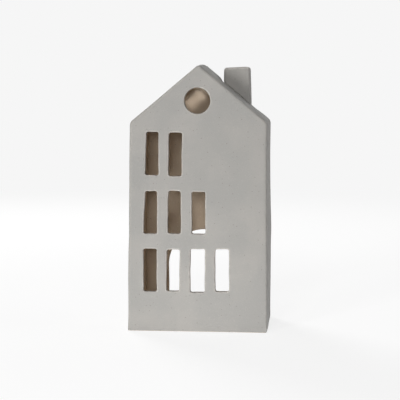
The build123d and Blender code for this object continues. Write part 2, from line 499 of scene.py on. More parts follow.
@dataclass(frozen=True)
class WindowPlan:
    """Where the tall windows stand, and their usual size."""

    width: float = 9.6 * MM
    height: float = 30.8 * MM
    corner_radius: float = 1.4 * MM
    first_x: float = -33.8 * MM
    first_z: float = 44.2 * MM
    column_pitch: float = 17.3 * MM
    row_pitch: float = 41.85 * MM
    windows: tuple[CutWindow, ...] = (
        CutWindow(0, 0, -0.01, 0.0, 0.01, 0.0, 0.0),
        CutWindow(1, 0, -0.08, 0.0, -0.03, -0.03, 0.0),
        CutWindow(2, 0, -0.04, 0.0, 0.08, 0.02, 0.0),
        CutWindow(3, 0, 0.0, 0.006, 0.03, -0.005, 0.0),
        CutWindow(0, 1, 0.0, -0.005, -0.05, 0.0, 0.15),
        CutWindow(1, 1, -0.02, 0.003, -0.05, 0.0, 0.07),
        CutWindow(2, 1, -0.01, -0.005, 0.01, -0.02, 0.0),
        CutWindow(0, 2, 0.10, 0.008, -0.04, 0.0, 0.10),
        CutWindow(1, 2, 0.03, -0.008, -0.01, 0.005, 0.0),
    )

    def path(self, window: CutWindow) -> RoundedPath:
        """Lays out one window, whose left side may lean.

        Args:
            window: The window.

        Returns:
            Its outline, from the lower left corner round.
        """
        x = self.first_x + window.column * self.column_pitch + window.across_share * self.width
        z = self.first_z + window.row * self.row_pitch + window.up_share * self.height
        half = self.width * (1.0 + window.width_share) / 2.0
        rise = self.height * (1.0 + window.height_share) / 2.0
        lean = window.lean_share * self.width / 2.0
        corners = [(x - half - lean, z - rise), (x + half, z - rise)]
        corners += [(x + half, z + rise), (x - half + lean, z + rise)]
        return RoundedPath(corners, self.corner_radius, bend=1.2 * MM)

    def loop(self, window: CutWindow, column_steps: int, row_steps: int) -> tuple[Array, Array]:
        """Points and normals round one window, as many on each side as its cell has.

        Formula: the straight outline plus two sines of the share walked, across it, for the
        unsteady knife.

        Args:
            window: The window.
            column_steps: Steps along its sill and along its head.
            row_steps: Steps along each upright side.

        Returns:
            Points and normals, one row each.
        """
        path = self.path(window)
        points, normals = path.at(runs(path.marks, (column_steps, row_steps) * 2))
        turn = np.linspace(0.0, 2.0 * np.pi, len(points), endpoint=False)
        phase = 1.7 * window.column + 2.9 * window.row
        stray = 0.10 * np.sin(2.0 * turn + phase) + 0.07 * np.sin(6.0 * turn + 2.3 * phase)
        return points + normals * (stray * MM)[:, None], normals


class Lattice:
    """Cells that the front is divided into, with one window at most in each.

    Five columns by four rows of cells fill the wall up to just under the eaves, and the gable
    above is one more cell. Neighbours share the points of their borders.
    """

    column_steps = (20, 16, 16, 16, 18)
    row_steps = (16, 34, 34, 32)
    top_steps = 150

    def __init__(self, shape: HouseShape, lines: Array, rows: Array) -> None:
        """Divides the outline.

        Args:
            shape: Sizes of the house.
            lines: X of the four upright lines between the columns.
            rows: Z of the four level lines, the last just under the eaves.
        """
        self.shape = shape
        self.rows = rows
        self.lines = lines
        self.feet = shape.path.find(0, lines, 0)
        marks = shape.path.marks
        self.bottom = stretches([marks[0], *self.feet, marks[1]], self.column_steps)
        self.right = stretches([marks[1], *shape.path.find(1, rows, 1)], self.row_steps)
        self.left = stretches([marks[5], *shape.path.find(1, rows, 4)], self.row_steps)
        self.top = np.linspace(self.right[-1][-1], self.left[-1][-1], self.top_steps + 1)

    def rim(self) -> Array:
        """Measures of every point on the outline, once round."""
        parts = [*self.bottom, *self.right, self.top, *[part[::-1] for part in self.left[::-1]]]
        return np.concatenate([part[:-1] for part in parts] + [parts[0][:1]])

    def borders(self, offset: float) -> tuple[list[list[Array]], list[list[Array]], Array]:
        """Borders of every cell.

        Args:
            offset: How far the outer border lies outside the outline.

        Returns:
            Level borders by row and column, upright borders by column and row, and the loop
            round the gable's cell, from its lower left corner.
        """
        sides = (self.bottom, self.right, self.left)
        bottom, right, left = ([self.shape.border(part, offset) for part in side] for side in sides)
        inner = []
        for x, foot in zip(self.lines, self.shape.border(self.feet, offset)):
            inner.append([pairs(x, z) for z in stretches([foot[1], *self.rows], self.row_steps)])
        uprights = [left, *inner, right]
        levels = [bottom]
        for row in range(len(self.rows)):
            levels.append(stretches([column[row][-1] for column in uprights], self.column_steps))
        slopes = self.shape.border(self.top, offset)
        return levels, uprights, np.concatenate([part[:-1] for part in (*levels[-1], slopes)])


class GableSkin(Skin):
    """Skin of a gable slab, laid out in its plane and lifted to its depth.

    Its offsets say how far past the outline the outer and the inner face reach, where the rim
    has its full radius.
    """

    def __init__(self, shape: HouseShape, gable: Gable) -> None:
        """Starts the skin.

        Args:
            shape: Sizes of the house.
            gable: Which end it closes.
        """
        super().__init__()
        self.shape = shape
        self.gable = gable
        self.offsets = (-shape.rim_radius, 0.0)

    def lift(self, plane: Array, depth: float | Array) -> Array:
        """Puts points of the gable's plane at a depth below its outer face."""
        y = self.gable.value * (self.shape.depth / 2.0 - np.broadcast_to(depth, plane.shape[:-1]))
        return np.stack([plane[..., 0], y, plane[..., 1]], axis=-1)

    def add_face(self, side: int, plane: Array) -> None:
        """Adds a grid of the glazed outer face, side 0, or of the bare inner face, side 1."""
        self.add(self.lift(plane, side * self.shape.slab), glaze=1.0 - side)

    def add_rim(self, measure: Array) -> None:
        """Adds the rounded rim: a quarter circle carried along the outline, then a flat.

        Args:
            measure: Measures of the rim's points, once round.
        """
        cosine, sine = arc(0.0, 90.0, 9)
        flat = np.linspace(0.0, 1.0, 4)[1:, None]
        points, normals = self.shape.path.at(measure)
        radius = self.shape.rim_radius * self.shape.rim_share(points)[:, 0]
        inset = np.concatenate([(1.0 - sine)[:, None] * radius, 0.0 * flat * radius])
        deeper = mix(radius, self.shape.slab, flat)
        depth = np.concatenate([(1.0 - cosine)[:, None] * radius, deeper])
        edge = np.concatenate([0.6 * sine * cosine, 0.0 * flat[:, 0]])
        self.add(self.lift(points - normals * inset[..., None], depth), edge=edge[:, None])

    def add_opening(self, points: Array, normals: Array,
                    inner_fade: Array | float = 1.0) -> tuple[Array, Array]:
        """Adds one opening: a sponged lip, the cut, and the lip on the other side.

        Formula: both lips are quarter circles, spread by two sines of the share walked round
        the opening. The glaze eases out on the way through.

        Args:
            points: Outline of the cut, as an open loop.
            normals: Directions into the clay.
            inner_fade: Share of the lip that is kept on the room's side, for each point.

        Returns:
            The loops where the lips meet the outer face and the inner face.
        """
        radius, thickness = self.shape.lip_radius, self.shape.slab
        cosine, sine = arc(0.0, 90.0, 7)
        through = np.linspace(radius, thickness - radius, 7)[1:-1]
        offset = np.concatenate([1.0 - sine, 0.0 * through, (1.0 - sine)[::-1]]) * radius
        depth = np.concatenate([radius * (1.0 - cosine), through, thickness - radius * (1.0 - cosine[::-1])])
        # Edge marks on the lips: where the lighter edge tone goes, partly thin glaze and partly a painted
        # highlight.
        edge = np.concatenate([2.0 * sine * cosine, 0.0 * through, 1.2 * (sine * cosine)[::-1]])
        glaze = 1.0 - ease(depth / thickness, 0.35, 0.45)
        turn = np.linspace(0.0, 2.0 * np.pi, len(points), endpoint=False)
        phase = PHASE_PER_METRE * (points[0, 0] + points[0, 1])
        sponge = 1.0 + 0.16 * np.sin(2.0 * turn + phase) + 0.10 * np.sin(5.0 * turn + 2.0 * phase)
        outside = np.arange(len(offset))[:, None] < len(offset) // 2
        spread = np.where(outside, sponge, np.minimum(sponge, 1.0) * inner_fade)
        grid = points + normals * (offset[:, None] * spread)[..., None]
        self.add(self.lift(closed(grid), depth[:, None]), glaze=glaze[:, None], edge=edge[:, None])
        return grid[0], grid[-1]


@dataclass(frozen=True)
class FrontWall:
    """Front gable, with its tall windows and its round one."""

    shape: HouseShape
    plan: WindowPlan = WindowPlan()
    round_radius: float = 9.25 * MM
    round_x: float = -0.65 * MM
    round_below_ridge: float = 25.6 * MM
    cells_below_eave: float = 3.2 * MM
    ring_steps: int = 7
    gable_steps: int = 13

    def build(self) -> Thing:
        """Builds the slab: cells round the windows and between them, on both faces.

        Returns:
            The finished piece.
        """
        shape, plan = self.shape, self.plan
        lines = plan.first_x + plan.column_pitch * (np.arange(4) + 0.5)
        rows = plan.first_z + plan.row_pitch * (np.arange(4) - 0.5)
        rows[-1] = shape.eave_height - self.cells_below_eave
        lattice = Lattice(shape, lines, rows)
        skin = GableSkin(shape, Gable.FRONT)
        skin.add_rim(lattice.rim())
        faces = [lattice.borders(offset) for offset in skin.offsets]
        cuts = {}
        for window in plan.windows:
            steps = lattice.column_steps[window.column], lattice.row_steps[window.row + 1]
            cuts[window.column, window.row + 1] = skin.add_opening(*plan.loop(window, *steps))
        centre = np.array([self.round_x, shape.ridge_height - self.round_below_ridge])
        spokes = faces[0][2] - centre
        normals = spokes / np.linalg.norm(spokes, axis=1, keepdims=True)
        round_cut = skin.add_opening(centre + normals * self.round_radius, normals)
        for side, (levels, uprights, gable_loop) in enumerate(faces):
            for row, column in np.ndindex(4, 5):
                low, high = levels[row][column], levels[row + 1][column]
                left, right = uprights[column][row], uprights[column + 1][row]
                if (column, row) in cuts:
                    loop = np.concatenate([low[:-1], right[:-1], high[:0:-1], left[:0:-1]])
                    skin.add_face(side, closed(ruled(cuts[column, row][side], loop, self.ring_steps)))
                else:
                    skin.add_face(side, coons(low, high, left, right))
            skin.add_face(side, closed(ruled(round_cut[side], gable_loop, self.gable_steps)))
        return skin.piece("front_gable")


@dataclass(frozen=True)
class BackWall:
    """Back gable, with the arch that the tealight goes in and out by."""

    shape: HouseShape
    arch_width: float = 55.0 * MM
    arch_height: float = 67.0 * MM
    sill_radius: float = 0.3 * MM
    sill_fade: float = 3.0 * MM
    foot_half_width: float = 31.5 * MM
    steps: tuple[int, int] = (52, 520)
    ring_steps: int = 44

    def build(self) -> Thing:
        """Builds the slab: a ring between the arch and the outline, on both faces.

        Returns:
            The finished piece.
        """
        shape, radius = self.shape, self.arch_width / 2.0
        foot = shape.path.find(0, np.array([-self.foot_half_width, self.foot_half_width]), 0)
        measure = runs([*foot, foot[0] + shape.path.total], self.steps)
        corners = [(-radius, shape.slab), (radius, shape.slab)]
        corners += [(radius, self.arch_height), (-radius, self.arch_height)]
        crown = radius - HAIR
        arch = RoundedPath(corners, [self.sill_radius, self.sill_radius, crown, crown], bend=1.0 * MM)
        points, normals = arch.at(runs([*arch.marks[:2], arch.marks[-1]], self.steps))
        skin = GableSkin(shape, Gable.BACK)
        skin.add_rim(np.append(measure, measure[0] + shape.path.total))
        cut = skin.add_opening(points, normals, ease(points[:, 1], shape.slab, self.sill_fade))
        for side, offset in enumerate(skin.offsets):
            loop = shape.border(measure, offset)
            skin.add_face(side, closed(ruled(cut[side], loop, self.ring_steps)))
        return skin.piece("back_gable")


@dataclass(frozen=True)
class Chimney:
    """Square chimney with an open flue, luted on to the right slope."""

    shape: HouseShape
    width: float = 19.0 * MM
    depth: float = 17.0 * MM
    wall: float = 3.6 * MM
    x: float = 24.6 * MM
    from_back_wall: float = 1.0 * MM
    rise: float = 19.0 * MM
    corner_radius: float = 1.8 * MM
    rim_radius: float = 1.7 * MM
    fillet: float = 1.1 * MM
    draft: float = math.tan(math.radians(1.5))
    draft_start: float = 2.0 * MM
    slant: float = math.tan(math.radians(2.8))
    side_steps: int = 26

    @property
    def y(self) -> float:
        """Place of its middle along the house."""
        return self.shape.inner_half_depth - self.from_back_wall - self.depth / 2.0

    @property
    def flue_width(self) -> float:
        """Width of the flue across the house."""
        return self.width - 2.0 * self.wall

    @property
    def flue_depth(self) -> float:
        """Width of the flue along the house."""
        return self.depth - 2.0 * self.wall

    def loop(self, width: float, depth: float, radius: float) -> tuple[Array, Array]:
        """Walks round an upright box about the chimney's middle.

        Args:
            width: Width across the house.
            depth: Width along the house.
            radius: Radius of its corners.

        Returns:
            Points and normals, from the middle of a corner round to it again.
        """
        signs = np.array([(-1, -1), (1, -1), (1, 1), (-1, 1)])
        corners = np.array([self.x, self.y]) + signs * np.array([width / 2.0, depth / 2.0])
        path = RoundedPath(corners, radius, bend=1.6 * MM)
        return path.at(np.append(runs(path.marks, [self.side_steps] * 4), path.marks[-1]))

    def top_height(self, x: Array) -> Array:
        """Height of the slanted top."""
        return self.shape.roof_height(self.x) + self.rise + (x - self.x) * self.slant

    def build(self) -> Thing:
        """Builds the chimney.

        Formula: a rounded square is carried up from the roof plane. Its outline is tucked in by
        a quarter circle at the foot and spreads by the draft towards it, turns in over the rim
        on a quarter circle, crosses the flat top and runs down the flue to the roof plane again.

        Returns:
            The finished piece.
        """
        roof = self.shape.roof_height
        points, normals = self.loop(self.width, self.depth, self.corner_radius)
        inside, inward = self.loop(self.flue_width, self.flue_depth, self.corner_radius / 2.0)
        cosine, sine = arc(0.0, 90.0, 7)
        foot = self.fillet * (1.0 - cosine)[:, None]
        total = self.top_height(points[:, 0]) - roof(points[:, 0])
        climb = mix(self.fillet, total - self.rim_radius, np.linspace(0.0, 1.0, 22)[1:, None])
        height = np.concatenate([foot + 0.0 * total, climb])
        tuck = np.concatenate([self.fillet * (sine - 1.0), np.zeros(len(climb))])
        offset = tuck[:, None] + (total - height + self.draft_start) * self.draft
        plan = points + normals * offset[..., None]
        outer = raised(plan, roof(plan[..., 0]) + height)
        rim = offset[-1] - self.rim_radius * (1.0 - cosine[1:, None])
        plan = points + normals * rim[..., None]
        over = raised(plan, self.top_height(plan[..., 0]) - self.rim_radius * (1.0 - sine[1:, None]))
        plan = inside + inward * (self.rim_radius * (1.0 - sine))[:, None, None]
        mouth = raised(plan, self.top_height(plan[..., 0]) - self.rim_radius * (1.0 - cosine[:, None]))
        down = np.linspace(0.0, 1.0, 16)[:, None]
        z = mix(self.top_height(inside[:, 0]) - self.rim_radius, roof(inside[:, 0]), down)
        flue = raised(np.broadcast_to(inside, (*z.shape, 2)), z)
        edge = (2.0 * sine * cosine)[:, None]
        skin = Skin()
        skin.add(outer)
        skin.add(np.concatenate([outer[-1:], over]), edge=edge)
        skin.add(np.stack([over[-1], mouth[0]]))
        skin.add(mouth, edge=edge)
        skin.add(flue, glaze=1.0 - ease(down, 0.1, 0.5))
        skin.add(np.stack([flue[-1], outer[0]]), glaze=0.0)
        return skin.piece("chimney_stack")


@dataclass(frozen=True)
class Shell:
    """Side walls, roof slopes and floor: the slabs that run between the gables.

    The right slope is cut for the chimney's flue.
    """

    shape: HouseShape
    chimney: Chimney
    cap_steps: int = 4
    wall_steps: int = 120
    roof_step: float = 0.6 * MM
    slant_width: float = 2.0 * MM
    station_step: float = 1.4 * MM

    def build_slab(self, name: str, outer: Array, inner: Array, breaks: tuple[float, ...] = (),
                   hole: tuple[int, int] | None = None, glaze: float = 1.0) -> Thing:
        """Builds a slab from the two curves of its section.

        Formula: both curves are swept straight along Y, from gable to gable, and all four
        borders blend from one swept face to the other.

        Args:
            name: Name of the piece.
            outer: Section of the outer face, as X and Z.
            inner: Section of the inner face, with as many points.
            breaks: Y of the near and the far side of a hole.
            hole: First and last point of the section in the hole.
            glaze: Cover of the outer face.

        Returns:
            The finished piece.
        """
        half = self.shape.inner_half_depth
        marks = [-half, *breaks, half]
        counts = [max(2, round((b - a) / self.station_step)) for a, b in zip(marks, marks[1:])]
        y = np.append(runs(marks, counts), half)[:, None]
        faces = [np.stack(np.broadcast_arrays(face[:, 0], y, face[:, 1]), axis=-1) for face in (outer, inner)]
        skin = Skin()
        keep = np.ones((len(y) - 1, len(outer) - 1), dtype=bool)
        if hole is not None:
            (first, last), (near, far) = hole, np.cumsum(counts)[:2]
            keep[near:far, first:last] = False
            across, along = slice(first, last + 1), slice(near, far + 1)
            for part in ((along, first), (along, last), (near, across), (far, across)):
                skin.add(np.stack([face[part] for face in faces]), glaze=0.0)
        skin.add(faces[0], glaze=glaze, keep=keep)
        skin.add(faces[1], glaze=0.0, keep=keep)
        for border in (np.s_[:, 0], np.s_[:, -1], np.s_[0], np.s_[-1]):
            skin.add(ruled(faces[0][border], faces[1][border], self.cap_steps), glaze=0.0)
        return skin.piece(name)

    def build_wall(self, hand: Hand) -> Thing:
        """Builds one side wall, from the foot to the mitre at the eaves.

        Args:
            hand: Which side it stands on.

        Returns:
            The finished piece.
        """
        shape, path = self.shape, self.shape.path
        start = path.find(0, shape.inner_half_width, 0)
        outer, _ = path.at(np.linspace(start, path.marks[2], self.wall_steps + 1))
        inner = np.linspace((shape.inner_half_width, 0.0), shape.inner_eave, len(outer))
        flip = np.array([hand.value, 1.0])
        return self.build_slab(f"{hand.name.lower()}_side", outer * flip, inner * flip)

    def build_roof(self, hand: Hand) -> Thing:
        """Builds one roof slope, from the mitre at the eaves to the one at the ridge.

        The inner face has its points straight below those of the outer face, save in a narrow
        band at the eaves, so the flue is cut upright.

        Args:
            hand: Which side it lies on.

        Returns:
            The finished piece.
        """
        shape, path, flue = self.shape, self.shape.path, self.chimney
        cut = hand is Hand.RIGHT
        across, along = flue.flue_width / 2.0, flue.flue_depth / 2.0
        marks = [path.find(0, x, 2) for x in (flue.x + across, flue.x - across) if cut]
        marks = [path.marks[2], *marks, path.marks[3]]
        counts = [max(4, round((b - a) / self.roof_step)) for a, b in zip(marks, marks[1:])]
        outer, _ = path.at(np.append(runs(marks, counts), marks[-1]))
        eave = shape.inner_eave[0]
        straight = eave - self.slant_width
        x = np.interp(outer[:, 0], [0.0, straight, outer[0, 0]], [0.0, straight, eave])
        inner = pairs(x, shape.inner_ridge_height - x * shape.roof_slope)
        flip = np.array([hand.value, 1.0])
        breaks = (flue.y - along, flue.y + along) if cut else ()
        hole = tuple(np.cumsum(counts)[:2]) if cut else None
        return self.build_slab(f"{hand.name.lower()}_slope", outer * flip, inner * flip, breaks, hole)

    def build_floor(self) -> Thing:
        """Builds the floor slab, a little narrower on top because the walls draw in.

        Returns:
            The finished piece.
        """
        shape, x = self.shape, np.linspace(-1.0, 1.0, 61)
        under = pairs(x * shape.inner_half_width, 0.0)
        over = pairs(x * (shape.inner_half_width - shape.wall_slope * shape.slab), shape.slab)
        return self.build_slab("house_floor", under, over, glaze=0.0)


@dataclass(frozen=True)
class Tealight:
    """Standard tealight: foil cup, pressed wax, wick and the disc that holds it."""

    floor: float
    radius: float = 19.0 * MM
    height: float = 15.0 * MM
    foil: float = 0.3 * MM
    base_radius: float = 1.6 * MM
    rim_radius: float = 0.5 * MM
    rim_reach: float = 0.46 * MM
    press_depth: float = 0.22 * MM
    press_span: Pair = (9.0 * MM, 13.0 * MM)
    flutes: int = 60
    flute_depth: float = 0.0055
    fluted_wall: float = 0.8 * MM
    wax_height: float = 12.4 * MM
    wax_radius: float = 18.45 * MM
    wax_edge: float = 0.8 * MM
    wax_sink: float = 0.08 * MM
    dish_depth: float = 0.35 * MM
    dish_reach: float = 1.6 * MM
    ripple: float = 0.05 * MM
    wick_radius: float = 0.8 * MM
    wick_above: float = 5.0 * MM
    wick_pitch: float = 0.62 * MM
    wick_lean: float = 0.9 * MM
    frayed_tip: float = 0.5 * MM
    disc_radius: float = 6.2 * MM
    disc_thickness: float = 0.3 * MM
    neck_radius: float = 1.5 * MM
    neck_height: float = 4.0 * MM
    play: float = 0.1 * MM

    @property
    def bottom(self) -> float:
        """Height of the foil's upper side, which the wax and the disc stand on."""
        return self.floor + self.foil

    def build_cup(self) -> Thing:
        """Builds the foil cup.

        Formula: a profile of base, rounded corner, wall and rolled rim is turned round the
        axis. Fine flutes draw the wall in by a raised cosine of the angle, strongest half way
        up, and a shallow ring is pressed into the base.

        Returns:
            The finished piece.
        """
        base, wall_top = self.floor, self.floor + self.height - self.rim_radius
        cosine, sine = arc(-90.0, 0.0, 8)
        corner = self.radius - self.base_radius, base + self.base_radius
        x = np.linspace(0.0, corner[0], 46)
        near, far = self.press_span
        press = base + self.press_depth * (ease(x, near, MM) - ease(x, far, MM))
        bend, back = (pairs(corner[0] + r * cosine, corner[1] + r * sine)
                      for r in (self.base_radius, self.base_radius - self.foil))
        wall = pairs(self.radius, np.linspace(corner[1], wall_top - self.rim_reach, 20))
        inside = pairs(self.radius - self.foil, np.linspace(wall_top, corner[1], 20))
        turn_x, turn_z = arc(246.0, 540.0, 22)
        centre = self.radius - self.foil + self.rim_radius
        roll = pairs(centre + self.rim_radius * turn_x, wall_top + self.rim_radius * turn_z)
        over = pairs(x, press + self.foil)[::-1]
        outer_side = [pairs(x, press), bend[1:], wall[1:], roll]
        profile = np.concatenate([*outer_side, inside[1:], back[-2::-1], over[1:]])
        facets = 6 * self.flutes
        grid = revolve(profile, facets)
        share = (profile[:, 1] - base) / self.height
        band = ease(share, 0.12, 0.2) * (1.0 - ease(share, 0.78, 0.12))
        band = np.where(profile[:, 0] > self.radius - self.fluted_wall, band, 0.0)
        angle = np.linspace(0.0, 2.0 * np.pi, facets + 1)
        flute = 0.5 - 0.5 * np.cos(self.flutes * angle)
        grid[..., :2] *= (1.0 - self.flute_depth * band[:, None] * flute)[..., None]
        return lone_piece("foil_cup", grid, 60.0)

    def build_wax(self) -> Thing:
        """Builds the wax.

        Formula: the top is level, rounded at its edge and dished by a narrow bell round the
        wick, and slow sines ripple it by a few hundredths of a millimetre. Underneath, a seat
        is left for the disc and its neck.

        Returns:
            The finished piece.
        """
        low, top = self.bottom, self.bottom + self.wax_height - self.wax_sink
        cosine, sine = arc(90.0, 0.0, 8)
        x = np.linspace(self.wick_radius, self.wax_radius - self.wax_edge, 40)
        face = pairs(x, top - self.dish_depth * bell(x, self.wick_radius, self.dish_reach))
        edge = pairs(x[-1] + self.wax_edge * cosine, top - self.wax_edge * (1.0 - sine))
        disc, neck = self.disc_radius + self.play, self.neck_radius + self.play
        disc_top, neck_top = low + self.disc_thickness + self.play, low + self.neck_height + self.play
        seat = np.array([
            (self.wax_radius, low + self.base_radius), (self.wax_radius - self.base_radius, low),
            (disc, low), (disc, disc_top), (neck, disc_top), (neck, neck_top),
            (self.wick_radius, neck_top), (self.wick_radius, face[0, 1]),
        ])
        grid = revolve(np.concatenate([face, edge[1:], seat]), 180)
        x, y = grid[..., 0] / MM, grid[..., 1] / MM
        ripple = np.sin(0.55 * x + 0.2 * y) * np.sin(0.48 * y + 1.1)
        ripple[len(face) + len(edge) - 1:] = 0.0
        ripple[0] = 0.0
        grid[..., 2] += self.ripple * ripple
        return lone_piece("pressed_wax", grid, 50.0)

    def build_wick(self) -> Thing:
        """Builds the wick.

        Formula: a tube whose radius follows two crossing helices of three strands each, the
        larger of the two cosines winning, and whose tip leans over with the square of the
        height above the wax.

        Returns:
            The finished piece.
        """
        top = self.bottom + self.wax_height + self.wick_above
        z = np.linspace(self.bottom + self.disc_thickness, top, 150)[:, None]
        angle = np.linspace(0.0, 2.0 * np.pi, 49)[None, :]
        climb = z / self.wick_pitch
        strands = np.maximum(np.cos(1.5 * (angle + climb)) ** 2, np.cos(1.5 * (angle - climb)) ** 2)
        frayed = ease(z, top - self.frayed_tip, self.frayed_tip)
        radius = self.wick_radius * (0.80 + 0.20 * strands) * (1.0 - 0.25 * frayed)
        free = np.clip((z - top) / self.wick_above + 1.0, 0.0, 1.0)
        lean = self.wick_lean * free ** 2
        tube = (radius * np.cos(angle) + lean, radius * np.sin(angle) + 0.4 * lean, z)
        grid = np.stack(np.broadcast_arrays(*tube), axis=-1)
        ends = [np.broadcast_to(grid[row, :-1].mean(axis=0), grid[:1].shape) for row in (0, -1)]
        return lone_piece("braided_wick", np.concatenate([ends[0], grid, ends[1]]), 70.0)

    def build_disc(self) -> Thing:
        """Builds the disc and the neck that grips the wick: one thin profile turned round.

        Returns:
            The finished piece.
        """
        low, step, blunt = self.bottom, self.bottom + self.disc_thickness, 0.1 * MM
        top = low + self.neck_height
        profile = np.array([
            (0.0, low), (self.disc_radius - blunt, low), (self.disc_radius, low + blunt),
            (self.disc_radius, step - blunt), (self.disc_radius - blunt, step),
            (self.neck_radius + 0.5 * MM, step), (self.neck_radius, step + 0.5 * MM),
            (self.neck_radius, top - 0.3 * MM), (self.neck_radius - 0.2 * MM, top),
            (self.wick_radius, top), (self.wick_radius, step), (0.0, step),
        ])
        return lone_piece("wick_disc", revolve(profile, 96), 30.0)


class NodeSketch:
    """Adds shader nodes to one new material, or to the world, in short calls."""

    def __init__(self, name: str, world: bpy.types.World | None = None) -> None:
        """Starts the material.

        Args:
            name: Name of the material.
            world: The world, whose nodes are laid out in place of a material's.
        """
        self.material = world or bpy.data.materials.new(name)
        self.material.use_nodes = True
        self.tree = self.material.node_tree
        self.tree.nodes.clear()
        self.coordinates = self.add("TexCoord").outputs["Object"]

    def add(self, kind: str, inputs: dict | None = None, **settings: object) -> bpy.types.Node:
        """Adds a node.

        Args:
            kind: Blender's name for the node, without the part that all shader nodes share.
            inputs: Values or sockets, by the name or number of the input.
            settings: Properties of the node.

        Returns:
            The node.
        """
        node = self.tree.nodes.new("ShaderNode" + kind)
        for key, value in settings.items():
            setattr(node, key, value)
        for key, value in (inputs or {}).items():
            if isinstance(value, Socket):
                self.tree.links.new(value, node.inputs[key])
            else:
                node.inputs[key].default_value = value
        return node

    def noise(self, size: float, detail: float = 3.0, stretch: Place = (1.0, 1.0, 1.0)) -> Socket:
        """Cloudy value whose patches are about the given size in metres."""
        place = self.add("Mapping", {"Vector": self.coordinates, "Scale": stretch}).outputs[0]
        return self.add("TexNoise", {"Vector": place, "Scale": 1.0 / size, "Detail": detail}).outputs["Fac"]

    def span(self, value: Socket, low: float, high: float, start: float = 0.0, stop: float = 1.0) -> Socket:
        """Maps a value from one span to another, easing at both ends."""
        inputs = {"Value": value, "From Min": low, "From Max": high, "To Min": start, "To Max": stop}
        return self.add("MapRange", inputs, interpolation_type="SMOOTHSTEP").outputs[0]

    def reckon(self, operation: str, first: object, second: object) -> Socket:
        """Result of one arithmetic operation."""
        return self.add("Math", {0: first, 1: second}, operation=operation).outputs[0]

    def times(self, first: object, second: object) -> Socket:
        """Product of two values."""
        return self.reckon("MULTIPLY", first, second)

    def plus(self, first: object, second: object) -> Socket:
        """Sum of two values."""
        return self.reckon("ADD", first, second)

    def layers(self, base: object, *coats: tuple[object, object]) -> Socket:
        """Lays colours over a base, one by one.

        Args:
            base: The lowest colour, as a colour or a socket.
            coats: Share and colour of each coat, from the lowest up.

        Returns:
            The colour on top.
        """
        for share, colour in coats:
            low, high = (tone if isinstance(tone, Socket) else (*tone, 1.0) for tone in (base, colour))
            base = self.add("Mix", {0: share, 6: low, 7: high}, data_type="RGBA").outputs[2]
        return base

    def specks(self, size: float, rarity: float, radius: float) -> Socket:
        """Mask of scattered round specks.

        Args:
            size: Size in metres of the cells that hold one speck each.
            rarity: Share of the cells that stay empty.
            radius: Radius of a speck, as a share of its cell.

        Returns:
            The mask, 1 on a speck.
        """
        cells = self.add("TexVoronoi", {"Vector": self.coordinates, "Scale": 1.0 / size}).outputs
        chosen = self.add("SeparateColor", {"Color": cells["Color"]})
        picked = self.span(chosen.outputs[0], rarity, rarity + 0.04)
        return self.times(picked, self.span(cells["Distance"], radius * 0.55, radius, 1.0, 0.0))

    def mark(self, label: str) -> Socket:
        """Value of one of the skin's marks."""
        return self.add("Attribute", attribute_name=label).outputs["Fac"]

    def bump(self, height: Socket, distance: float, strength: float) -> Socket:
        """Normal that follows a height, in metres at full strength."""
        return self.add("Bump", {"Height": height, "Distance": distance, "Strength": strength}).outputs[0]

    def blend(self, share: Socket, first: Socket, second: Socket) -> Socket:
        """Blend of two shaders, or of their light."""
        return self.add("MixShader", {0: share, 1: first, 2: second}).outputs[0]

    def finish(self, colour: Socket, rough: Socket, normal: Socket, extra: dict) -> bpy.types.Material:
        """Ends the material in one surface shader.

        Args:
            colour: Colour of the surface.
            rough: How far a gloss is spread.
            normal: Direction of the surface with its relief.
            extra: Other values of the shader.

        Returns:
            The material.
        """
        inputs = {"Base Color": colour, "Roughness": rough, "Normal": normal, **extra}
        shader = self.add("BsdfPrincipled", inputs)
        self.add("OutputMaterial", {"Surface": shader.outputs[0]})
        return self.material


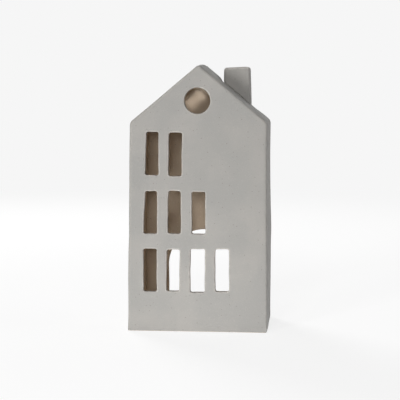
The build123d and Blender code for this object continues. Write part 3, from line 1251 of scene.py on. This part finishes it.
@dataclass(frozen=True)
class StonewareFinish:
    """Matt grey glaze over buff clay, thin on the edges, where its lighter tone also serves as a painted
    highlight, and left off inside and underneath.
    """

    glaze: Colour = (0.424, 0.409, 0.385)
    glaze_cool: Colour = (0.386, 0.377, 0.359)
    # Lighter tone of thin glaze: mottles the coat, and on rounded edges is partly a painted highlight.
    thin_glaze_and_highlight: Colour = (0.62, 0.59, 0.545)
    iron_speck: Colour = (0.20, 0.175, 0.15)
    clay: Colour = (0.665, 0.55, 0.425)
    clay_dark: Colour = (0.595, 0.48, 0.365)
    grog: Colour = (0.76, 0.68, 0.59)
    gloss: float = 0.1

    def make(self) -> bpy.types.Material:
        """Makes the material: a cloudy, specked coat where the glaze mark says so, and gritty clay.

        Returns:
            The material.
        """
        sketch = NodeSketch("matt_stoneware")
        span, times, plus, specks = sketch.span, sketch.times, sketch.plus, sketch.specks
        cloud, drift, grain = sketch.noise(30.0 * MM, 4.0), sketch.noise(7.0 * MM), sketch.noise(0.9 * MM)
        # Lighter tone on the rounded edges: partly glaze running thin, partly a painted highlight where light
        # catches lips and rims.
        edge_thinning_and_highlight = times(sketch.mark("edge"), span(sketch.noise(3.0 * MM), 0.30, 0.62, 0.25, 0.9))
        coat = sketch.layers(
            self.glaze,
            (span(cloud, 0.35, 0.65), self.glaze_cool),
            (span(drift, 0.40, 0.75, 0.0, 0.35), self.glaze_cool),
            (span(grain, 0.50, 0.75, 0.0, 0.18), self.thin_glaze_and_highlight),
            (times(specks(2.6 * MM, 0.62, 0.17), 0.55), self.iron_speck),
            (times(specks(1.1 * MM, 0.80, 0.20), 0.35), self.iron_speck),
            (edge_thinning_and_highlight, self.thin_glaze_and_highlight),
        )
        body = sketch.layers(
            self.clay,
            (span(sketch.noise(16.0 * MM, 4.0), 0.38, 0.66), self.clay_dark),
            (times(specks(1.6 * MM, 0.55, 0.28), 0.55), self.grog),
            (times(specks(2.3 * MM, 0.75, 0.16), 0.7), self.iron_speck),
        )
        ragged = times(plus(sketch.noise(2.2 * MM, 4.0), -0.5), 0.7)
        cover = span(plus(sketch.mark("glaze"), ragged), 0.42, 0.58)
        rough = plus(span(drift, 0.3, 0.7, 0.50, 0.62), span(cover, 0.0, 1.0, 0.30, 0.0))
        dimples = plus(times(grain, 0.45), times(sketch.noise(3.4 * MM, 2.0), 0.5))
        coat_height = plus(dimples, times(specks(3.1 * MM, 0.70, 0.10), -0.8))
        clay_height = times(sketch.noise(0.55 * MM, 4.0), 1.6)
        height = sketch.add("Mix", {0: cover, 2: clay_height, 3: coat_height}).outputs[0]
        normal = sketch.bump(height, 0.12 * MM, 0.8)
        colour = sketch.layers(body, (cover, coat))
        return sketch.finish(colour, rough, normal, {"Specular IOR Level": self.gloss})


@dataclass(frozen=True)
class PlainFinish:
    """Finish of two tones, whose gloss and fine relief follow one noise.

    Where smears are given, they mix the tones in place of that noise and join in the relief.
    """

    name: str
    light: Colour
    dark: Colour
    lines: float
    rough: Pair
    relief: float
    strength: float
    stretch: float = 1.0
    smears: float = 0.0
    dark_from: float = 0.4
    metallic: float = 0.0

    def make(self) -> bpy.types.Material:
        """Makes the material.

        Returns:
            The material.
        """
        sketch = NodeSketch(self.name)
        lines = patches = height = sketch.noise(self.lines, stretch=(1.0, 1.0, self.stretch))
        if self.smears > 0.0:
            patches = sketch.noise(self.smears)
            height = sketch.plus(lines, patches)
        colour = sketch.layers(self.light, (sketch.span(patches, self.dark_from, 0.7), self.dark))
        rough = sketch.span(lines, 0.3, 0.7, *self.rough)
        normal = sketch.bump(height, self.relief, self.strength)
        return sketch.finish(colour, rough, normal, {"Metallic": self.metallic})


FOIL = PlainFinish(
    "pressed_foil", (0.80, 0.805, 0.815), (0.66, 0.665, 0.675), 1.2 * MM, (0.20, 0.38), 0.05 * MM, 0.6,
    stretch=0.08, smears=6.0 * MM, metallic=1.0,
)
COTTON = PlainFinish(
    "wick_cotton", (0.84, 0.81, 0.74), (0.56, 0.52, 0.45), 0.25 * MM, (0.70, 0.88), 0.03 * MM, 0.8,
    stretch=0.3,
)
TIN = PlainFinish(
    "stamped_tin", (0.66, 0.66, 0.67), (0.50, 0.50, 0.50), 1.5 * MM, (0.24, 0.42), 0.02 * MM, 0.5,
    dark_from=0.45, metallic=1.0,
)


@dataclass(frozen=True)
class WaxFinish:
    """Off-white pressed wax, with the fine grains that it was pressed from."""

    wax: Colour = (0.86, 0.84, 0.78)
    grain: Colour = (0.93, 0.92, 0.88)
    glow_reach: Colour = (1.0, 0.7, 0.45)

    def make(self) -> bpy.types.Material:
        """Makes the material, which light enters a little way.

        Returns:
            The material.
        """
        sketch = NodeSketch("candle_wax")
        grains, cloud = sketch.specks(0.8 * MM, 0.35, 0.45), sketch.noise(5.0 * MM)
        colour = sketch.layers(self.wax, (sketch.times(sketch.plus(grains, cloud), 0.5), self.grain))
        normal = sketch.bump(sketch.plus(grains, sketch.noise(0.5 * MM, 2.0)), 0.04 * MM, 0.5)
        extra = {"Subsurface Weight": 0.35, "Subsurface Radius": self.glow_reach}
        extra |= {"Subsurface Scale": 1.5 * MM, "IOR": 1.44}
        return sketch.finish(colour, sketch.span(cloud, 0.3, 0.7, 0.38, 0.55), normal, extra)


@dataclass(frozen=True)
class Lamp:
    """Round soft lamp, placed by the direction in which it stands from its aim, in degrees."""

    name: str
    left: float
    up: float
    distance: float
    size: float
    watts: float
    aim: Place = (0.0, 0.0, 0.10)
    spread: float = 180.0

    def build(self) -> None:
        """Hangs the lamp, facing its aim."""
        left, up = math.radians(self.left), math.radians(self.up)
        way = Vector((-math.sin(left) * math.cos(up), -math.cos(left) * math.cos(up), math.sin(up)))
        data = bpy.data.lights.new(self.name, "AREA")
        data.shape = "DISK"
        data.size = self.size
        data.energy = self.watts
        data.spread = math.radians(self.spread)
        lamp = bpy.data.objects.new(self.name, data)
        lamp.location = Vector(self.aim) + way * self.distance
        lamp.rotation_euler = way.to_track_quat("Z", "Y").to_euler()
        lamp.visible_camera = False
        bpy.context.scene.collection.objects.link(lamp)


@dataclass(frozen=True)
class Studio:
    """Pale table with a soft pool of light before the house, the lamps and the camera.

    Six soft lamps light the house from all around. The last two are narrow beams through the
    round window, for the bright slanting band on the wall behind it.
    """

    backdrop: float = 0.922
    ambient: float = 0.105
    floor_half: float = 4.0
    floor_glow: float = 0.785
    floor_shade: float = 0.30
    floor_white: float = 0.75
    floor_reach: float = 1.4
    pool_glow: float = 1.53
    pool_middle: Pair = (0.0, -0.12)
    pool_reach: float = 0.22
    lamps: tuple[Lamp, ...] = (
        Lamp("key", 26.5, 10.0, 1.6, 0.33, 9.7),
        Lamp("high", 6.0, 28.0, 1.6, 0.2, 3.4),
        Lamp("front", -2.4, 7.4, 1.6, 0.25, 3.4),
        Lamp("fill", -90.0, 24.0, 0.7, 0.45, 0.54),
        Lamp("rear", 205.0, 35.0, 1.8, 0.8, 1.7),
        Lamp("back", 150.0, 25.0, 1.8, 0.8, 18.0),
        Lamp("attic_low", -9.0, 2.6, 0.6, 0.008, 1.05e-4, (-0.00065, -0.035, 0.166), 0.9),
        Lamp("attic_high", -3.4, -2.6, 0.6, 0.008, 1.0e-4, (-0.00065, -0.035, 0.166), 0.9),
    )
    camera_place: Place = (0.09186, -1.04185, 0.18329)
    camera_aim: Place = (-0.001444, 0.0, 0.092105)
    camera_roll: float = 0.138
    camera_focus_px: float = 1421.45
    frame_px: float = 400.0
    sensor: float = 36.0

    def in_sight(self, sketch: NodeSketch) -> Socket:
        """Tells what is seen from what only lights the house.

        Args:
            sketch: Sketch of a material or of the world.

        Returns:
            1 for what the camera sees straight, in a gloss or through glass, else 0.
        """
        path = sketch.add("LightPath").outputs
        seen = sketch.reckon("MAXIMUM", path["Is Camera Ray"], path["Is Glossy Ray"])
        return sketch.reckon("MAXIMUM", seen, path["Is Transmission Ray"])

    def nearness(self, sketch: NodeSketch, middle: Pair, reach: float) -> Socket:
        """Fades out from a spot of the table.

        Args:
            sketch: Sketch of the table's material.
            middle: The spot.
            reach: Distance at which the value is 0.

        Returns:
            Value that falls evenly from 1 at the spot.
        """
        x, y = middle
        scale = (1.0 / reach, 1.0 / reach, 1.0)
        moved = {"Vector": sketch.coordinates, "Location": (-x / reach, -y / reach, 0.0), "Scale": scale}
        place = sketch.add("Mapping", moved).outputs[0]
        return sketch.add("TexGradient", {"Vector": place}, gradient_type="SPHERICAL").outputs[1]

    def paint(self, sketch: NodeSketch, kind: str, tone: float) -> Socket:
        """Shader of one kind in an even grey."""
        return sketch.add(kind, {"Color": (tone, tone, tone, 1.0)}).outputs[0]

    def build_world(self) -> None:
        """Makes the even surroundings, and the paler backdrop for what is in sight."""
        world = bpy.data.worlds.new("studio")
        bpy.context.scene.world = world
        sketch = NodeSketch("studio", world)
        light = sketch.add("Background", {"Strength": self.ambient}).outputs[0]
        sight = self.paint(sketch, "Background", self.backdrop)
        sketch.add("OutputWorld", {"Surface": sketch.blend(self.in_sight(sketch), light, sight)})

    def build_floor(self) -> None:
        """Makes the table: matt with a pool of light, and in sight nearly the backdrop's tone."""
        half = self.floor_half
        corners = [(-half, -half, 0.0), (half, -half, 0.0), (half, half, 0.0), (-half, half, 0.0)]
        mesh = bpy.data.meshes.new("studio_floor")
        mesh.from_pydata(corners, [], [(0, 1, 2, 3)])
        floor = bpy.data.objects.new("studio_floor", mesh)
        bpy.context.scene.collection.objects.link(floor)
        sketch = NodeSketch("studio_floor")
        pool = sketch.reckon("POWER", self.nearness(sketch, self.pool_middle, self.pool_reach), 2.0)
        light = sketch.add("Emission", {"Strength": sketch.times(pool, self.pool_glow)}).outputs[0]
        matt = self.paint(sketch, "BsdfDiffuse", self.floor_white)
        lit = sketch.add("AddShader", {0: matt, 1: light}).outputs[0]
        glow = self.paint(sketch, "Emission", self.floor_glow)
        shade = self.paint(sketch, "BsdfDiffuse", self.floor_shade)
        close = sketch.add("AddShader", {0: glow, 1: shade}).outputs[0]
        far = self.paint(sketch, "Emission", self.backdrop)
        near = sketch.span(self.nearness(sketch, (0.0, 0.0), self.floor_reach), 0.1, 0.7)
        seen = sketch.blend(near, far, close)
        sketch.add("OutputMaterial", {"Surface": sketch.blend(self.in_sight(sketch), lit, seen)})
        mesh.materials.append(sketch.material)

    def build_camera(self) -> None:
        """Places the camera: aimed at a point, then rolled about its own axis."""
        data = bpy.data.cameras.new("camera")
        data.sensor_width = self.sensor
        data.lens = self.camera_focus_px / self.frame_px * self.sensor
        data.clip_end = 50.0
        camera = bpy.data.objects.new("camera", data)
        place, aim = Vector(self.camera_place), Vector(self.camera_aim)
        turn = (aim - place).to_track_quat("-Z", "Y").to_matrix()
        roll = Matrix.Rotation(math.radians(self.camera_roll), 3, "Z")
        camera.matrix_world = Matrix.Translation(place) @ (turn @ roll).to_4x4()
        bpy.context.scene.collection.objects.link(camera)
        bpy.context.scene.camera = camera
        bpy.context.scene.view_settings.view_transform = "Standard"

    def build(self) -> None:
        """Sets the stage."""
        self.build_world()
        self.build_floor()
        for lamp in self.lamps:
            lamp.build()
        self.build_camera()


def main() -> None:
    """Builds the house, the tealight and the studio."""
    logging.basicConfig(level=logging.INFO, format="%(name)s %(message)s")
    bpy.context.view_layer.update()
    shape = HouseShape()
    stoneware = StonewareFinish().make()
    chimney = Chimney(shape)
    shell = Shell(shape, chimney)
    glazed = {"front_wall": FrontWall(shape).build(), "back_wall": BackWall(shape).build()}
    glazed |= {f"{hand.name.lower()}_wall": shell.build_wall(hand) for hand in Hand}
    glazed |= {f"{hand.name.lower()}_roof": shell.build_roof(hand) for hand in Hand}
    glazed["chimney"] = chimney.build()
    for node, thing in glazed.items():
        dress(thing, stoneware, Body.HOUSE, "stoneware_glaze", node)
    dress(shell.build_floor(), stoneware, Body.HOUSE, "raw_stoneware", "floor_slab")
    tealight = Tealight(shape.slab)
    dress(tealight.build_cup(), FOIL.make(), Body.TEALIGHT, "cup_foil", "tealight_cup")
    dress(tealight.build_wax(), WaxFinish().make(), Body.TEALIGHT, "candle_wax", "tealight_wax")
    dress(tealight.build_wick(), COTTON.make(), Body.TEALIGHT, "wick_cotton", "tealight_wick")
    dress(tealight.build_disc(), TIN.make(), Body.TEALIGHT, "tinned_steel", "wick_sustainer")
    Studio().build()


if __name__ == "__main__":
    main()
